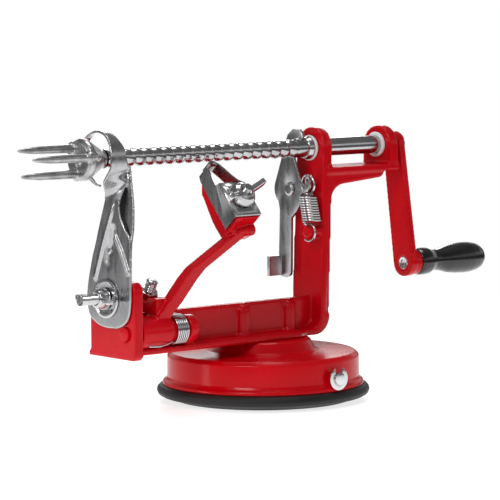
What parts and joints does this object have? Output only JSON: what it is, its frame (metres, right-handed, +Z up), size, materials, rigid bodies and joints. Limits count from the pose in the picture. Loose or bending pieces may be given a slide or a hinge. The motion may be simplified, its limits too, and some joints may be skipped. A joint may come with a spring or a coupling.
{
  "type": "apple peeler corer",
  "caption": "Hand-cranked fruit peeler, corer and slicer: a screw shaft feeds the fork past a sprung peeling arm and a ringed slicing plate, on a suction base.",
  "frame": {"origin": "on the table, under the middle of the suction base", "axes": "+X along the shaft towards the crank, +Z up, -Y towards the front, where the peeling arm is"},
  "size_m": [0.2843, 0.1087, 0.1354],
  "materials": {
    "red_enamel": "glossy enamel on a smooth casting",
    "bright_steel": "bright nickel plate",
    "sheet_steel": "satin rolled stainless sheet",
    "nylon": "satin moulded nylon",
    "black_handle": "glossy black",
    "rubber": "matt moulded rubber"
  },
  "bodies": {
    "frame": {"frame_casting": "red_enamel", "suction_dome": "red_enamel", "suction_cup": "rubber", "base_screws": "bright_steel", "front_bush": "nylon", "bush_sleeve": "bright_steel", "blade_bolt": "bright_steel", "arm_pivot_pin": "red_enamel", "lever_rivet": "bright_steel", "arm_spring": "bright_steel", "lever_spring": "bright_steel"},
    "feed_bush": {"rear_bush": "nylon"},
    "shaft": {"screw_shaft": "bright_steel", "fork": "bright_steel", "crank_arm": "red_enamel", "crank_screw": "bright_steel", "knob_spindle": "bright_steel"},
    "knob": {"knob": "black_handle"},
    "slicer": {"slicer_plate": "sheet_steel"},
    "slicer_washer": {"blade_washer": "bright_steel"},
    "slicer_nut": {"blade_wing_nut": "bright_steel"},
    "arm": {"peeler_arm": "red_enamel", "stop_screw": "bright_steel", "stop_nut": "bright_steel", "peeler_bolt": "bright_steel"},
    "peeler": {"peeler_blade": "sheet_steel"},
    "peeler_shim": {"peeler_washer": "bright_steel"},
    "peeler_nut": {"peeler_wing_nut": "bright_steel"},
    "release": {"release_lever": "sheet_steel"},
    "rod": {"cam_rod": "bright_steel", "e_clip": "bright_steel", "suction_lever": "red_enamel", "lever_grip": "black_handle"},
    "stud": {"lift_stud": "bright_steel"}
  },
  "joints": [
    {"name": "crank_spin", "type": "hinge", "parent": "frame", "child": "feed_bush", "pos_m": [0, 0, 0.122], "axis": [1, 0, 0], "range_deg": [0, 6600]},
    {"name": "shaft_feed", "type": "slide", "parent": "feed_bush", "child": "shaft", "axis": [1, 0, 0], "range_m": [0, 0.1101]},
    {"name": "knob_spin", "type": "hinge", "parent": "shaft", "child": "knob", "pos_m": [0.11, -0.0089, 0.0614], "axis": [1, 0, 0], "continuous": true},
    {"name": "slicer_shift", "type": "slide", "parent": "frame", "child": "slicer", "axis": [0, 1, 0], "range_m": [0, 0.0025]},
    {"name": "slicer_washer_slide", "type": "slide", "parent": "frame", "child": "slicer_washer", "axis": [-1, 0, 0], "range_m": [0, 0.0016]},
    {"name": "slicer_nut_turn", "type": "hinge", "parent": "slicer_washer", "child": "slicer_nut", "pos_m": [-0.1, -0.0008, 0.0564], "axis": [-1, 0, 0], "range_deg": [0, 722]},
    {"name": "peeler_arm_swing", "type": "hinge", "parent": "frame", "child": "arm", "pos_m": [-0.07, -0.0134, 0.0404], "axis": [1, 0, 0], "range_deg": [0, 32], "stiffness_Nm_per_rad": 0.25, "springref_deg": -57.3, "deforming": ["arm_spring"]},
    {"name": "peeler_blade_shift", "type": "slide", "parent": "arm", "child": "peeler", "axis": [0, 0.6534, 0.757], "range_m": [0, 0.002]},
    {"name": "peeler_washer_slide", "type": "slide", "parent": "arm", "child": "peeler_shim", "axis": [0, -0.757, 0.6534], "range_m": [0, 0.0014]},
    {"name": "peeler_nut_turn", "type": "hinge", "parent": "peeler_shim", "child": "peeler_nut", "pos_m": [-0.0388, -0.03084, 0.10343], "axis": [0, -0.757, 0.6534], "range_deg": [0, 722]},
    {"name": "release_lever_swing", "type": "hinge", "parent": "frame", "child": "release", "pos_m": [0.026, 0.0084, 0.1012], "axis": [1, 0, 0], "range_deg": [-18, 0], "stiffness_Nm_per_rad": 0.18, "springref_deg": 17.19, "deforming": ["lever_spring"]},
    {"name": "suction_lever_turn", "type": "hinge", "parent": "frame", "child": "rod", "pos_m": [0.005, 0, 0.0139], "axis": [0, -1, 0], "range_deg": [0, 120]},
    {"name": "suction_lift", "type": "slide", "parent": "frame", "child": "stud", "axis": [0, 0, 1], "range_m": [0, 0.00435]}
  ],
  "couplings": [
    {"joint": "shaft_feed", "follows": "crank_spin", "m_per_rad": 0.00095493},
    {"joint": "slicer_nut_turn", "follows": "slicer_washer_slide", "rad_per_m": 7854},
    {"joint": "peeler_nut_turn", "follows": "peeler_washer_slide", "rad_per_m": 8976},
    {"joint": "suction_lift", "follows": "suction_lever_turn", "m_per_rad": 0.0020674}
  ]
}
